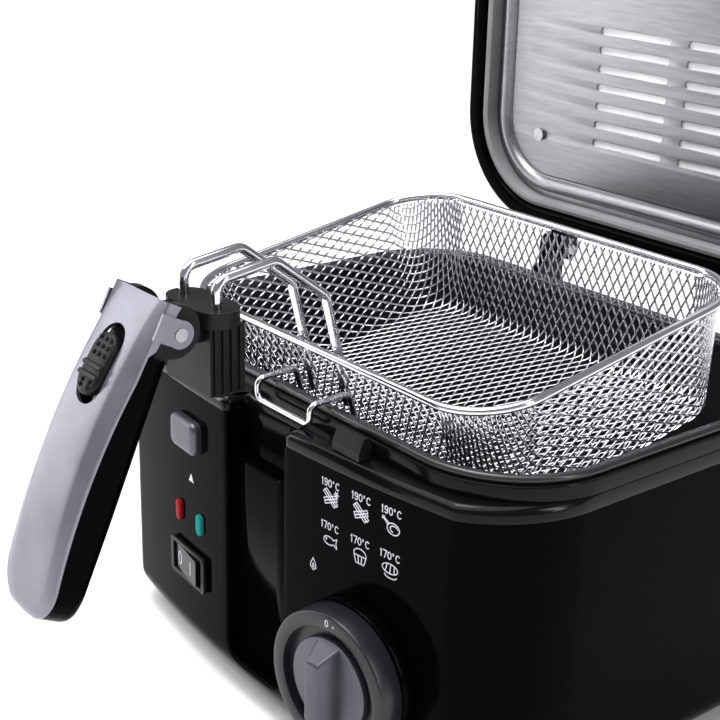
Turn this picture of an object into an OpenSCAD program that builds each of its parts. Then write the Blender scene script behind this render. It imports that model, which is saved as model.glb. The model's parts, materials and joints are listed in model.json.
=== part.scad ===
// Domestic deep fryer, lid open, basket hung up to drain.
// The table is z = 0, +X is the right of the fryer and -Y its front.

/* [Body] */
// Width of the body
body_w = 262; // [258:1:268]
// Radius of the body's upright corners
corner_r = 54; // [52:1:58]
// Radius of the bow of the front, seen from above
bow_r = 600; // [560:10:700]
// Thickness of the moulded walls
wall = 2.5; // [2.2:0.1:2.6]
// Height of the feet
foot_h = 5; // [4:0.5:6]

/* [Vat] */
// Height of the vat's lip above the table
rim_z = 144; // [143:1:146]
// Half width of the vat, inside
vat_hw = 123; // [122:0.5:124]
// Half depth of the vat, inside
vat_hd = 93; // [92:0.5:94]
// Thickness of the vat's sheet
vat_t = 1.2; // [0.8:0.1:1.4]
// Height of the vat's floor above the table
vat_floor_z = 34; // [34:1:40]

/* [Lid] */
// Height of the lid from its edge to its crown
lid_h = 46; // [44:1:50]
// How far back of the body's middle the lid hinge lies
hinge_y = 122.5; // [122:0.5:124]
// Angle that the lid stands open at
lid_open = 90; // [88:1:90]

/* [Basket] */
// Half width of the basket's rim wire, outside
basket_hw = 100; // [98:1:102]
// Half depth of the basket's rim wire, outside
basket_hd = 74.5; // [73:0.5:75]
// Depth of the basket under its rim
basket_depth = 54; // [50:1:56]
// Slope of the basket as it hangs on its hook
basket_tilt = 10; // [9:0.5:11]
// Width of the basket's handle
handle_w = 36; // [35:0.5:37]
// Angle that the handle hangs at, under the level
handle_hang = 63; // [60:1:68]

/* [Hidden] */
$fn = 64;
// This shift in Y brings the box of the whole fryer over the origin.
frame_y = 29.27;
gap = 0.3;
front_y = -114;
rear_y = 113;
ledge_z0 = rim_z - 15;
ledge_z1 = rim_z - 11;
deck_z = rim_z - 9;
lip_t = 3;
lip_z0 = rim_z - lip_t;
lip_hw = vat_hw + 6;
lip_hd = vat_hd + 6.2;
lip_r = 45;
vat_r = 39;
panel_hw = 106;
channel_hw = 20;
channel_depth = 10.4;
channel_z = 16;
channel_y = front_y + channel_depth;
step_depth = 4.6;
step_z = rim_z - 35;

// What stands on the front: x and z of each centre.
button_at = [-51, 109];
lamp_z = 69;
red_x = -60.7;
green_x = -42.1;
rocker_at = [-52, 46];
dial_at = [64.5, 49.7];
drum_r = 30;
disc_r = 19.4;
grip_w = 12;
grip_out = 24;
button_w = 22;
button_h = 15;
button_out = 4;
latch_x = 53;
lens_h = 10;
lens_r = 2.5;

lid_z = rim_z + 0.6;
hinge_z = rim_z + 7.5;
hinge_pin_r = 2.5;
hinge_slack = 0.05;
hinge_x = 66;

basket_x = 9.4;
basket_y = -20;
basket_z = rim_z + 29.7;
rim_wire_r = 1.7;
basket_r = 29;
floor_hw = 90;
floor_hd = 66;
mesh_t = 1.6;
hook_wire_r = 1.25;
handle_wire_r = 2;
pivot_y = -163.5;
pivot_z = rim_z + 42.2;
pivot_r = 2.5;
hub_r = 10;
knuckle_r = 8;
cheek_x = 10.8;
cheek_end = 15.6;
handle_end = 114;
shell_t = 2;
slider_slope = 6;
bend_overlap = 0.5;
bend_swell = 1.03;
end_r = 15;
split = 6.5;

// ---- shared shapes ----

// A rectangle with round corners, from y0 to y1 and hw either side of x = 0.
module rounded(hw, y0, y1, r) {
    translate([-hw + r, y0]) square([2 * (hw - r), y1 - y0]);
    translate([-hw, y0 + r]) square([2 * hw, y1 - y0 - 2 * r]);
    for (x = [-hw + r, hw - r], y = [y0 + r, y1 - r]) translate([x, y]) circle(r);
}

// The outline of the body from above, moved in by inset.
module plan(inset = 0) {
    intersection() {
        rounded(body_w / 2 - inset, front_y + inset, rear_y - inset, corner_r - inset);
        translate([0, front_y + bow_r]) circle(bow_r - inset, $fn = 128);
    }
}

module slab(z0, z1) translate([0, 0, z0]) linear_extrude(z1 - z0) children();

module vat_plan(out = 0) rounded(vat_hw + out, -vat_hd - out, vat_hd + out, vat_r + out);

// Puts its children on the bowed front at x, with -Y straight out of the surface there.
module on_front(at) {
    turn = asin(at[0] / bow_r);
    translate([at[0], front_y + bow_r * (1 - cos(turn)), at[1]]) rotate([0, 0, turn]) children();
}

// A round bar along Y from y0 to y1.
module bar_y(y0, y1, r) translate([0, y1, 0]) rotate([90, 0, 0]) cylinder(r = r, h = y1 - y0);

// A round bar along X, from x0 to x1.
module bar_x(x0, x1, r) translate([x0, 0, 0]) rotate([0, 90, 0]) cylinder(r = r, h = x1 - x0);

// A block with round corners in the XZ plane, w by h, from y0 to y1.
module tile(w, h, y0, y1, r) {
    translate([0, y1, 0]) rotate([90, 0, 0]) linear_extrude(y1 - y0) rounded(w / 2, -h / 2, h / 2, r);
}

// A wire that follows points in the YZ plane, with a round bend of radius bend at each corner.
// Each straight run ends a little inside its bends, which are a touch thicker.
function unit(v) = v / norm(v);
function turn_at(p, i) = let (u = unit(p[i] - p[i - 1]), v = unit(p[i + 1] - p[i]))
    atan2(u[0] * v[1] - u[1] * v[0], u * v);
function trim_at(p, i, bend) = i == 0 || i == len(p) - 1 ? 0 : bend * tan(abs(turn_at(p, i)) / 2);

module bent_wire(points, r, bend) rotate([90, 0, 90]) {
    for (i = [0 : len(points) - 2]) {
        u = unit(points[i + 1] - points[i]);
        start = points[i] + u * (trim_at(points, i, bend) - (i > 0 ? bend_overlap : 0));
        end = points[i + 1] - u * (trim_at(points, i + 1, bend) - (i < len(points) - 2 ? bend_overlap : 0));
        translate([start[0], start[1], 0]) rotate([0, 90, atan2(u[1], u[0])])
            cylinder(r = r, h = norm(end - start), $fn = 24);
    }
    for (i = [1 : len(points) - 2]) {
        turn = turn_at(points, i);
        side = sign(turn);
        u = unit(points[i] - points[i - 1]);
        centre = points[i] - u * trim_at(points, i, bend) + side * bend * [-u[1], u[0]];
        from = atan2(u[1], u[0]) - side * 90;
        translate([centre[0], centre[1], 0]) rotate([0, 0, side > 0 ? from : from + turn])
            rotate_extrude(angle = abs(turn)) translate([bend, 0]) circle(r * bend_swell, $fn = 24);
    }
}

// ---- frames of the moving pieces ----

module placed() translate([0, frame_y, 0]) children();

module opened() {
    translate([0, hinge_y, hinge_z]) rotate([-lid_open, 0, 0]) translate([0, -hinge_y, -hinge_z]) children();
}

module in_basket() translate([basket_x, basket_y, basket_z]) rotate([basket_tilt, 0, 0]) children();

// The handle's own frame: the pivot is the origin, -Y runs to its far end, +Z out of its top shell.
module in_handle() translate([basket_x, pivot_y, pivot_z]) rotate([handle_hang, 0, 0]) children();

// ---- body ----

boss_at = [for (x = [-104, 104], y = [-56, 56]) [x, y]];

module outer_housing() placed() color([0.05, 0.05, 0.06]) difference() {
    union() {
        slab(foot_h, ledge_z0) difference() {
            plan();
            plan(wall);
        }
        for (p = boss_at) {
            translate([p[0], p[1], foot_h + 3]) cylinder(r = 4, h = 16);
            x0 = p[0] > 0 ? p[0] + 2 : -body_w / 2 + 1;
            translate([x0, p[1] - 1, foot_h + 3]) cube([body_w / 2 - 107, 2, 16]);
        }
    }
    translate([-panel_hw, front_y - 1, 0]) cube([2 * panel_hw, 40, rim_z]);
    for (p = boss_at) translate([p[0], p[1], foot_h]) cylinder(r = 1.35, h = 15);
    translate([-60, 0, 24]) bar_y(rear_y - 6, rear_y + 1, 7);
    for (i = [-3 : 3]) translate([i * 9 - 1.5, rear_y - 4, 50]) cube([3, 6, 30]);
}

module front_panel() placed() color([0.05, 0.05, 0.06]) {
    difference() {
        slab(foot_h, ledge_z0 - 0.05) intersection() {
            difference() {
                plan();
                plan(wall);
            }
            translate([-panel_hw + 0.2, front_y - 1]) square([2 * panel_hw - 0.4, 30]);
        }
        translate([-channel_hw, front_y - 1, channel_z]) cube([2 * channel_hw, 8, rim_z]);
        on_front(button_at) tile(button_w + 0.8, button_h + 0.8, -3, 4, 4.4);
        for (x = [red_x, green_x]) on_front([x, lamp_z]) lens_block(0.15, -3, 4);
        on_front(rocker_at) tile(28.4, 15.4, -3, 4, 1.2);
        on_front(dial_at) bar_y(-3, 4, 5);
    }
    for (x = [-channel_hw - 2, channel_hw])
        translate([x, front_y + 1, channel_z - 2]) cube([2, channel_depth, ledge_z0 + 1.95 - channel_z]);
    translate([-channel_hw - 1, channel_y, step_z - 2]) cube([2 * channel_hw + 2, 2, ledge_z0 + 1.95 - step_z]);
    translate([-channel_hw - 1, front_y + step_depth, channel_z - 2])
        cube([2 * channel_hw + 2, 2, step_z - channel_z + 2]);
    translate([-channel_hw - 1, front_y + step_depth, step_z - 2])
        cube([2 * channel_hw + 2, channel_depth - step_depth + 1, 2]);
    translate([-channel_hw - 1, front_y + 1, channel_z - 2]) cube([2 * channel_hw + 2, step_depth, 2]);
}

// The ledge round the vat with the collar that stands on it.
module top_trim() placed() color([0.07, 0.07, 0.08]) difference() {
    union() {
        slab(ledge_z0, ledge_z1) plan();
        slab(ledge_z1, deck_z) plan(2);
        slab(deck_z, lip_z0) rounded(lip_hw + 1.6, -lip_hd - 1.6, lip_hd + 1.6, lip_r + 1.6);
    }
    slab(ledge_z0 - 1, rim_z) vat_plan(vat_t + 0.4);
    translate([-channel_hw, front_y - 1, ledge_z0 - 1]) cube([2 * channel_hw, 12, 30]);
    translate([latch_x - 4.6, -106.6, ledge_z0 - 1]) cube([9.2, 5.6, deck_z - ledge_z0 + 1.01]);
}

module vat() placed() color([0.3, 0.3, 0.32]) {
    difference() {
        slab(vat_floor_z, lip_z0) vat_plan(vat_t);
        slab(vat_floor_z + vat_t, rim_z) vat_plan();
    }
    slab(lip_z0, rim_z) difference() {
        rounded(lip_hw, -lip_hd, lip_hd, lip_r);
        vat_plan();
    }
}

foot_at = [for (x = [-88, 88], y = [-82, 84]) [x, y]];

module base_plate() placed() color([0.06, 0.06, 0.06]) difference() {
    slab(foot_h, foot_h + 3) plan(wall + gap);
    for (p = boss_at) translate([p[0], p[1], 0]) cylinder(r = 1.7, h = 20);
    for (i = [-5 : 5]) translate([i * 9 - 2, -30, 0]) cube([4, 60, 20]);
}

module feet() placed() color([0.1, 0.1, 0.1]) for (p = foot_at) translate([p[0], p[1], 0]) {
    cylinder(r = 8, h = 1.5);
    translate([0, 0, 1.5]) cylinder(r = 9.5, h = foot_h - 1.5);
}

module base_screws() placed() color([0.7, 0.7, 0.72]) for (p = boss_at) translate([p[0], p[1], 0]) {
    translate([0, 0, foot_h - 2.2]) cylinder(r = 3.4, h = 2.2);
    translate([0, 0, foot_h - 1]) cylinder(r = 1.25, h = 14);
}

// ---- what heats and switches ----

element_z = vat_floor_z - 3.6;
element_ring_r = 58;
lead_angle = 12;

module heating_element() placed() color([0.45, 0.42, 0.4]) translate([0, 0, element_z]) {
    rotate([0, 0, 90 + lead_angle]) rotate_extrude(angle = 360 - 2 * lead_angle)
        translate([element_ring_r, 0]) circle(3.3, $fn = 24);
    for (s = [-1, 1]) rotate([0, 0, s * lead_angle]) translate([0, element_ring_r, -15]) cylinder(r = 4.2, h = 17);
}

module element_reflector() placed() color("silver") {
    difference() {
        slab(21, 24) circle(72);
        slab(22, 25) circle(71);
        for (s = [-1, 1]) rotate([0, 0, s * lead_angle]) translate([0, element_ring_r, 20]) cylinder(r = 4.6, h = 5);
    }
    for (a = [30, 150, 270]) rotate([0, 0, a]) translate([64, 0, foot_h + 3]) cylinder(r = 3, h = 14);
}

module thermostat() placed() color([0.85, 0.83, 0.78]) on_front(dial_at) difference() {
    tile(34, 26, wall + 0.5, 12, 2);
    bar_y(0, 9, 3 + hinge_slack);
}

module sensor_bulb() placed() color([0.72, 0.45, 0.3]) {
    translate([30, 0, vat_floor_z - 3.2]) bar_y(-35, 35, 3);
}

module thermal_cutout() placed() color([0.2, 0.2, 0.22]) {
    translate([-28, 0, vat_floor_z - 6]) cylinder(r = 8, h = 5.9);
    translate([-36, -3, vat_floor_z - 9]) cube([16, 6, 3]);
}

module terminal_block() placed() color([0.9, 0.9, 0.86]) difference() {
    translate([-50, 88, foot_h + 3]) cube([34, 14, 12]);
    for (i = [0 : 2]) translate([-44 + i * 11, 0, foot_h + 9]) bar_y(87, 103, 2);
}

module mains_gland() placed() color([0.08, 0.08, 0.08]) translate([-60, 0, 24]) difference() {
    union() {
        bar_y(rear_y - 7, rear_y, 6.95);
        bar_y(rear_y, rear_y + 5, 9.5);
    }
    bar_y(rear_y - 8, rear_y + 6, 4);
}

module hinge_brackets() placed() color([0.06, 0.06, 0.06]) for (x = [-hinge_x - 6.3, hinge_x + 0.3]) difference() {
    union() {
        translate([x, rear_y, ledge_z0 - 16]) cube([6, hinge_y - rear_y + 6, 28]);
        translate([x, hinge_y - 6, ledge_z0 + 6]) cube([6, 12, hinge_z - ledge_z0 - 6]);
        translate([x, hinge_y, hinge_z]) rotate([0, 90, 0]) cylinder(r = 6, h = 6);
    }
    translate([x - 1, hinge_y, hinge_z]) rotate([0, 90, 0]) cylinder(r = hinge_pin_r, h = 8);
}

module hinge_pins() placed() color("silver") for (x = [-hinge_x - 7, hinge_x - 11])
    translate([x, hinge_y, hinge_z]) rotate([0, 90, 0]) cylinder(r = hinge_pin_r, h = 18);

// ---- controls ----

module lens_block(grow, y0, y1) {
    for (s = [-1, 1]) translate([0, 0, s * (lens_h / 2 - lens_r)]) bar_y(y0, y1, lens_r + grow);
    translate([-lens_r - grow, y0, -lens_h / 2 + lens_r]) cube([2 * (lens_r + grow), y1 - y0, lens_h - 2 * lens_r]);
}

module lens(x) on_front([x, lamp_z]) lens_block(0, -1.2, 6);

module red_lens() placed() color([0.85, 0.05, 0.08]) lens(red_x);
module green_lens() placed() color([0.05, 0.5, 0.35]) lens(green_x);

module lamp_board() placed() color([0.1, 0.35, 0.2]) on_front([(red_x + green_x) / 2, lamp_z]) tile(34, 16, 8, 9.6, 1);

module power_switch_frame() placed() color([0.08, 0.08, 0.08]) on_front(rocker_at) {
    difference() {
        tile(31, 17, -1.6, -0.25, 2);
        tile(25.6, 13.2, -2, 1, 0.6);
    }
    difference() {
        tile(28, 15, -0.25, 12, 0.8);
        tile(25.6, 13.2, -1, 10.5, 0.6);
    }
}

rocker_rest = -6;
rocker_depth = 3.5;

module power_rocker() placed() color([0.12, 0.12, 0.13]) on_front(rocker_at)
    translate([0, rocker_depth, 0]) rotate([0, 0, rocker_rest]) {
        tile(23, 12.4, -5.4, 2, 0.8);
        cylinder(r = 3, h = 12.2, center = true);
    }

module dial_collar() placed() color([0.04, 0.04, 0.05]) on_front(dial_at) difference() {
    bar_y(-5.2, -0.05, 30.4);
    bar_y(-8, 1, 5);
}

// The drum that turns, with a recess in its face for the disc of the knob.
module dial_drum() placed() color([0.03, 0.03, 0.04]) on_front(dial_at) difference() {
    bar_y(-16, -5.5, drum_r);
    bar_y(-17, -12.3, disc_r + 4.6);
    bar_y(-13, -5, 3);
}

// A disc with an upright grip bar across it, whose ends slope back to the disc.
module temperature_knob() placed() color([0.72, 0.72, 0.74]) on_front(dial_at) {
    bar_y(-15.2, -12.3, disc_r);
    translate([-grip_w / 2, 0, 0]) rotate([90, 0, 90]) linear_extrude(grip_w)
        polygon([[-14, -18], [-14, 18], [-15.2, 18], [-grip_out, 13], [-grip_out, -13], [-15.2, -18]]);
}

module thermostat_shaft() placed() color("silver") on_front(dial_at) bar_y(-12, 8.8, 3);

module release_button() placed() color([0.75, 0.75, 0.77]) on_front(button_at) {
    tile(button_w, button_h, -button_out, 3, 4);
    bar_y(3, 5.5, 3);
}

module latch_bar() placed() color("silver") {
    translate([button_at[0] - 6, -100.6, ledge_z0 - 17]) cube([latch_x + 4 - button_at[0] + 6, 2, 10]);
    translate([button_at[0] - 6, -104, ledge_z0 - 17]) cube([12, 4, 2]);
}

module latch_catch() placed() color([0.1, 0.1, 0.1]) {
    translate([latch_x - 4, -106, ledge_z0 - 17]) cube([8, 5.35, 10]);
    translate([latch_x - 4, -106, ledge_z0 - 7]) cube([8, 2.6, deck_z + gap - ledge_z0 + 7]);
    translate([latch_x - 8, -109, deck_z + gap]) rotate([90, 0, 90])
        linear_extrude(16) polygon([[0, 0], [5.8, 0], [5.8, 6], [4, 8.6], [2.4, 8.6], [0, 3]]);
}

// ---- lid, drawn shut and then opened ----

liner_z = lid_z + 9;
screw_at = [for (x = [-85, 85], y = [-68, 68]) [x, y]];

module dome(inset) hull() {
    slab(lid_z, lid_z + 20) plan(inset, $fn = 32);
    slab(lid_z + 20, lid_z + 34 - inset) plan(5 + inset, $fn = 32);
    slab(lid_z + 34, lid_z + 42 - inset) plan(17 + inset, $fn = 32);
    slab(lid_z + 42, lid_z + lid_h - inset) plan(36 + inset, $fn = 32);
}

module lid_outer_shell() placed() opened() color([0.05, 0.05, 0.06]) difference() {
    dome(0);
    difference() {
        dome(wall);
        slab(lid_z - 1, lid_z + wall) difference() {
            plan(-1);
            plan(9);
        }
    }
    slab(lid_z - 1, lid_z + 1) plan(9);
    slab(lid_z + 30, lid_z + lid_h + 1) rounded(48, 10, 60, 6);
}

module lid_liner() placed() opened() color([0.66, 0.66, 0.68]) difference() {
    union() {
        slab(liner_z, liner_z + 1) plan(6);
        slab(liner_z - 3, liner_z) difference() {
            plan(17);
            plan(23);
        }
    }
    slab(liner_z - 2, liner_z + 2) difference() {
        plan(18);
        plan(22);
    }
    slab(liner_z - 2, liner_z + 2) for (row = [0 : 6], x = [-49, 5]) translate([x, 64 - row * 9.1]) square([44, 4]);
    for (p = screw_at) translate([p[0], p[1], liner_z - 1]) cylinder(r = 1.7, h = 3);
}

module lid_seal() placed() opened() color([0.45, 0.45, 0.46]) slab(lid_z + 1.4, liner_z) difference() {
    plan(9.2);
    plan(14);
}

module lid_knuckles() placed() opened() color([0.05, 0.05, 0.06]) for (x = [-hinge_x, hinge_x - 10]) difference() {
    union() {
        translate([x, rear_y + 0.05, lid_z + 2]) cube([10, hinge_y - rear_y, 9.4]);
        translate([x, hinge_y, hinge_z]) rotate([0, 90, 0]) cylinder(r = 5.5, h = 10);
    }
    translate([x - 1, hinge_y, hinge_z]) rotate([0, 90, 0]) cylinder(r = hinge_pin_r + hinge_slack, h = 12);
}

module lid_screws() placed() opened() color("silver") for (p = screw_at) translate([p[0], p[1], liner_z]) {
    translate([0, 0, -1.6]) cylinder(r = 3.2, h = 1.6);
    cylinder(r = 1.5, h = 8);
}

module filter_pad() placed() opened() color([0.2, 0.2, 0.2]) slab(liner_z + 1.1, liner_z + 11) rounded(60, -4, 74, 5);

module vent_cover() placed() opened() color([0.08, 0.08, 0.08]) difference() {
    slab(lid_z + lid_h - 3, lid_z + lid_h + 0.6) rounded(47.8, 10.2, 59.8, 5.8);
    for (i = [-8 : 8]) translate([i * 5 - 1.1, 18, lid_z]) cube([2.2, 34, 60]);
}

// ---- basket, hung on the vat's lip by its hook ----

rim_hw = basket_hw - rim_wire_r;
rim_hd = basket_hd - rim_wire_r;
tray_in = 2 * rim_wire_r + 0.2;
tray_hw = basket_hw - tray_in;
tray_hd = basket_hd - tray_in;
tray_r = basket_r - tray_in;

// The flared solid of the basket, moved in by inset, from its floor at z0 to its mouth at z1.
module tray(inset, z0, z1) hull() {
    slab(z0, z0 + 0.5) rounded(floor_hw - inset, -floor_hd + inset, floor_hd - inset, tray_r - inset, $fn = 32);
    slab(z1 - 0.5, z1) rounded(tray_hw - inset, -tray_hd + inset, tray_hd - inset, tray_r - inset, $fn = 32);
}

module basket_mesh() placed() in_basket() color([0.75, 0.75, 0.77]) difference() {
    tray(0, -basket_depth, 1);
    tray(mesh_t, -basket_depth + mesh_t, 3);
}

module basket_rim() placed() in_basket() color([0.8, 0.8, 0.82]) {
    cr = basket_r - rim_wire_r;
    for (s = [-1, 1]) {
        translate([0, s * rim_hd, 0]) bar_x(-rim_hw + cr, rim_hw - cr, rim_wire_r);
        translate([s * rim_hw, 0, 0]) bar_y(-rim_hd + cr, rim_hd - cr, rim_wire_r);
    }
    for (q = [0 : 3]) {
        sx = (q == 0 || q == 3) ? 1 : -1;
        sy = q < 2 ? 1 : -1;
        translate([sx * (rim_hw - cr), sy * (rim_hd - cr), 0]) rotate([0, 0, q * 90])
            rotate_extrude(angle = 90) translate([cr, 0]) circle(rim_wire_r, $fn = 24);
    }
}

hook_half = 17.5;
hook_out_y = -105.9;
hook_top_z = rim_z + hook_wire_r + 0.45;
hook_low_z = rim_z - 6.4;
hook_y = [-84.2, -87.1, hook_out_y, hook_out_y];
hook_z = [rim_z - 8, hook_top_z + 0.9, hook_top_z, hook_low_z];

module drain_hook() placed() translate([basket_x, 0, 0]) color([0.8, 0.8, 0.82]) {
    for (x = [-hook_half, hook_half]) translate([x, 0, 0])
        bent_wire([for (i = [0 : 3]) [hook_y[i], hook_z[i]]], hook_wire_r, 2.6);
    translate([0, hook_out_y, hook_low_z]) bar_x(-hook_half - 1.6, hook_half + 1.6, hook_wire_r * 1.08);
}

wire_half = 11;
rim_front = [basket_y - rim_hd * cos(basket_tilt), basket_z - rim_hd * sin(basket_tilt)];
wire_foot_z = rim_front[1] + rim_wire_r + handle_wire_r + 0.1;

module handle_wires() placed() translate([basket_x, 0, 0]) color([0.8, 0.8, 0.82]) for (s = [-1, 1])
    translate([s * wire_half, 0, 0]) bent_wire([[rim_front[0], wire_foot_z], [-94.4, rim_z + 42],
        [-118, rim_z + 59.7], [-143.7, rim_z + 56], [-143.4, rim_z + 46.05]], handle_wire_r, 6);

module handle_bracket() placed() translate([basket_x, 0, 0]) color([0.07, 0.07, 0.08]) difference() {
    union() {
        slab(pivot_z - 2.2, rim_z + 46) {
            translate([-10, -151]) square([20, 17.5]);
            for (s = [-1, 1]) translate([s * 10, -142.4]) circle(8.2);
        }
        slab(rim_z + 14, pivot_z - 2.2) translate([-15, -149]) square([30, 15]);
        for (s = [-1, 1], i = [0 : 3])
            translate([s > 0 ? 15 : -16, -147.6 + i * 3.6, rim_z + 14]) cube([1, 1.8, pivot_z - 2.2 - rim_z - 14]);
        translate([0, pivot_y, pivot_z]) bar_x(-10.4, 10.4, knuckle_r);
        translate([-10.4, pivot_y, pivot_z - knuckle_r]) cube([20.8, 16, knuckle_r + 3]);
    }
    translate([0, pivot_y, pivot_z]) bar_x(-12, 12, pivot_r + hinge_slack);
}

// ---- handle ----

// Height of the crown of the handle's top shell, u millimetres from the pivot.
function crown(u) = 15.5 - pow(u - 45, 2) / 510;
function crown_line(u0, u1, drop) = [for (i = [0 : 12]) let (u = u0 + (u1 - u0) * i / 12) [-u, crown(u) - drop]];

// A solid of the handle's width, less 2 * side, that follows a side view and has a round far end.
module handle_body(side, points) {
    intersection() {
        translate([-handle_w / 2 + side, 0, 0]) rotate([90, 0, 90]) linear_extrude(handle_w - 2 * side) polygon(points);
        translate([0, 0, -40]) linear_extrude(80) rounded(handle_w / 2 - side, -handle_end + side, 60, end_r - side);
    }
}

top_points = concat(crown_line(-9, handle_end + 1, 0), crown_line(handle_end + 1, -9, split));
inner_top_points = concat(crown_line(-11, handle_end + 1, shell_t), crown_line(handle_end + 1, -11, split + 1));
low_points = concat(crown_line(handle_end + 1, 12, split + 0.1),
    [[-12, -1.6], [-70, -5.3], [-104, -7], [-handle_end - 1, -8.8]]);
inner_low_points = concat(crown_line(handle_end + 1, 17, split - 1),
    [[-17, 0.4], [-70, -3.3], [-102, -5], [-handle_end - 1, -6.8]]);

module handle_top_shell() placed() in_handle() color([0.78, 0.78, 0.8]) difference() {
    handle_body(0, top_points);
    handle_body(shell_t, inner_top_points);
    translate([0, -20, -10]) linear_extrude(60) rounded(7.5, -15.5, 15.5, 7.4);
}

module handle_lower_shell() placed() in_handle() color([0.08, 0.08, 0.09]) difference() {
    handle_body(0, low_points);
    handle_body(shell_t, inner_low_points);
}

// A cheek either side of the bracket's knuckle, cut off under the top shell.
module handle_hub() placed() in_handle() color([0.08, 0.08, 0.09]) for (s = [0, 1]) mirror([s, 0, 0]) difference() {
    union() {
        bar_x(cheek_x, cheek_end, hub_r);
        translate([cheek_x, -11.95, -1.4]) cube([cheek_end - cheek_x, 11.95, 6.2]);
    }
    translate([0, -hub_r - 1, crown(0) - shell_t - 2]) cube([cheek_end + 1, 2 * hub_r + 2, 10]);
    bar_x(0, 30, pivot_r);
}

module handle_ears() placed() in_handle() color([0.75, 0.75, 0.77]) for (x = [-handle_w / 2 - 1.2, handle_w / 2]) difference() {
    union() {
        translate([x, 0, 0]) bar_x(0, 1.2, 5.2);
        translate([x, 0, 0]) rotate([90, 0, 90]) linear_extrude(1.2) polygon([[5, 0], [5, 10], [-5, 10], [-5, 0]]);
    }
    translate([x - 1, 0, 0]) bar_x(0, 4, pivot_r);
}

module pivot_pin() placed() in_handle() color("silver") {
    bar_x(-handle_w / 2 - 1.6, handle_w / 2 + 1.6, pivot_r);
}

module handle_screws() placed() in_handle() color("silver") for (u = [30, 92]) translate([0, -u, 0]) {
    translate([0, 0, u < 50 ? -4.13 : -7.75]) cylinder(r = 3, h = 1.15);
}

module on_slide() translate([0, -20.5, crown(20.5)]) rotate([-slider_slope, 0, 0]) children();

module handle_slider() placed() in_handle() on_slide() color([0.06, 0.06, 0.06]) {
    translate([0, 0, -1.4]) linear_extrude(3.2) rounded(7.1, -12, 12, 7);
    translate([-6.5, -5, 1.7]) cube([13, 2, 1.4]);
    translate([-2, -8, -4.4]) cube([4, 16, 3.1]);
}

module lock_rod() placed() in_handle() on_slide() color("silver") translate([0, 0, -6]) bar_y(-14, 2, 1.6);

outer_housing();
front_panel();
top_trim();
vat();
base_plate();
feet();
base_screws();
heating_element();
element_reflector();
thermostat();
sensor_bulb();
thermal_cutout();
terminal_block();
mains_gland();
hinge_brackets();
hinge_pins();
power_switch_frame();
red_lens();
green_lens();
lamp_board();
dial_collar();
power_rocker();
dial_drum();
temperature_knob();
thermostat_shaft();
release_button();
latch_bar();
latch_catch();
lid_outer_shell();
lid_liner();
lid_seal();
lid_knuckles();
lid_screws();
filter_pad();
vent_cover();
basket_mesh();
basket_rim();
drain_hook();
handle_wires();
handle_bracket();
handle_top_shell();
handle_lower_shell();
handle_hub();
handle_ears();
pivot_pin();
handle_screws();
handle_slider();
lock_rod();
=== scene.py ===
"""Looks of the deep fryer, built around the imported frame. Shapes are worked out in millimetres in the
body's own frame, where x = 0 and y = 0 are the middle of the vat, and placed in metres."""
import json
import math
import bmesh
import bpy
import numpy as np
from mathutils import Matrix, Vector


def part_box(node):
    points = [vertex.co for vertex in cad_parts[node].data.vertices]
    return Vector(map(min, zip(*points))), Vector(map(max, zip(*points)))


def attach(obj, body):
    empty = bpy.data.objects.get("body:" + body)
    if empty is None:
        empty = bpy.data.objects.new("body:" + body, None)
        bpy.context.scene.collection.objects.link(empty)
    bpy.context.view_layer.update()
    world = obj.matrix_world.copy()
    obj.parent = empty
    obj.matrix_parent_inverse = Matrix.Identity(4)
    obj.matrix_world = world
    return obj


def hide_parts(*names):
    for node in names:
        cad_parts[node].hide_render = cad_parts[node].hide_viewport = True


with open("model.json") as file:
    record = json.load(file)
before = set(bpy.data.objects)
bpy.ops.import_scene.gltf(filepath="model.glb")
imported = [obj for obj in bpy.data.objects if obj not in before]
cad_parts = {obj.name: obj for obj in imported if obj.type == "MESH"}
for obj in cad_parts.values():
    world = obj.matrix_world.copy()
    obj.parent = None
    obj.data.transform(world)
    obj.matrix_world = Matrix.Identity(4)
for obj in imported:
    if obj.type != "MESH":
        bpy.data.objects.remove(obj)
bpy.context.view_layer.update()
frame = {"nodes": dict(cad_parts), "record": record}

MM = 0.001
vat_lo, vat_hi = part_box("vat")
SHIFT_Y = (vat_lo[1] + vat_hi[1]) / 2

# The main sizes, read from the frame where a box gives them.
RIM_Z = round(vat_hi[2] / MM, 3)
FRONT_Y, REAR_Y = -114.0, 113.0
BOW_R, CORNER_R, BODY_HW = 600.0, 54.0, 131.0
LEDGE_Z, DECK_Z, LIP_Z = RIM_Z - 15, RIM_Z - 9, RIM_Z - 3
PANEL_HW = 106.0
LID_Z = RIM_Z + 0.6
HINGE = (0.0, 122.5, RIM_Z + 7.5)
BASKET_X, BASKET_Y, BASKET_UP, BASKET_TILT = 9.4, -20, 29.7, 10
PIVOT_Y, PIVOT_UP, HANG = -163.5, 42.2, 63
SLIDE_U, SLIDE_SLOPE = 20.5, 6


# ---- frames of the pieces, in millimetres ----

def rot(angle, axis):
    return Matrix.Rotation(math.radians(angle), 4, axis)


def move(x, y, z):
    return Matrix.Translation((x, y, z))


WORLD = Matrix.Identity(4)
OPENED = move(*HINGE) @ rot(-90, "X") @ move(*[-c for c in HINGE])
BASKET = move(BASKET_X, BASKET_Y, RIM_Z + BASKET_UP) @ rot(BASKET_TILT, "X")
HANDLE = move(BASKET_X, PIVOT_Y, RIM_Z + PIVOT_UP) @ rot(HANG, "X")


def crown(u):
    """Height of the handle's back, u millimetres out from the pivot."""
    return 15.5 - (u - 45) ** 2 / 510


SLIDE = HANDLE @ move(0, -SLIDE_U, crown(SLIDE_U)) @ rot(-SLIDE_SLOPE, "X")


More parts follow.
